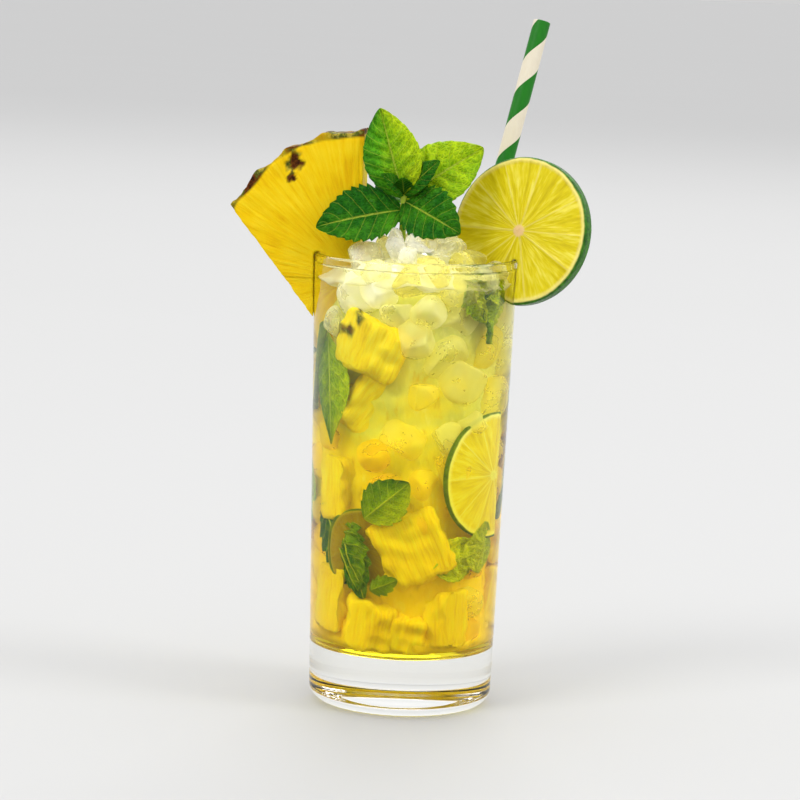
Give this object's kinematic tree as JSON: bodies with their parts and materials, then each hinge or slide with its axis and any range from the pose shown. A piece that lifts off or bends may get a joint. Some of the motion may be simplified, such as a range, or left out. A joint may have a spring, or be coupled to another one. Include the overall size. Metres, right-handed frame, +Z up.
{
  "type": "mojito cocktail",
  "caption": "Iced lime and mint cocktail in a tall straight glass, with a pineapple wedge, a lime wheel, a mint sprig and a striped straw.",
  "frame": {"origin": "centre of the ring that the glass stands on, at the height of the table", "axes": "+Z up along the glass, -Y towards the front from which the lime wheel and the wedge are seen face on, +X towards the lime wheel"},
  "size_m": [0.1239, 0.0723, 0.2375],
  "materials": {
    "clear_glass": "clear polished glass",
    "drink": "clear yellow-green drink with fruit and ice",
    "ice": "wet crushed ice",
    "pineapple": "moist ripe fruit flesh with brown and green rind",
    "lime": "moist translucent flesh with a thin dark green rind",
    "mint": "fresh leaf, slightly glossy, with sunk veins",
    "paper_straw": "smooth paper with green and cream spiral stripes"
  },
  "bodies": {
    "root": {"glass": "clear_glass", "drink": "drink", "crushed_ice": "ice", "pineapple_wedge": "pineapple", "lime_wheel": "lime", "mint_sprig": "mint", "straw": "paper_straw"}
  },
  "joints": []
}
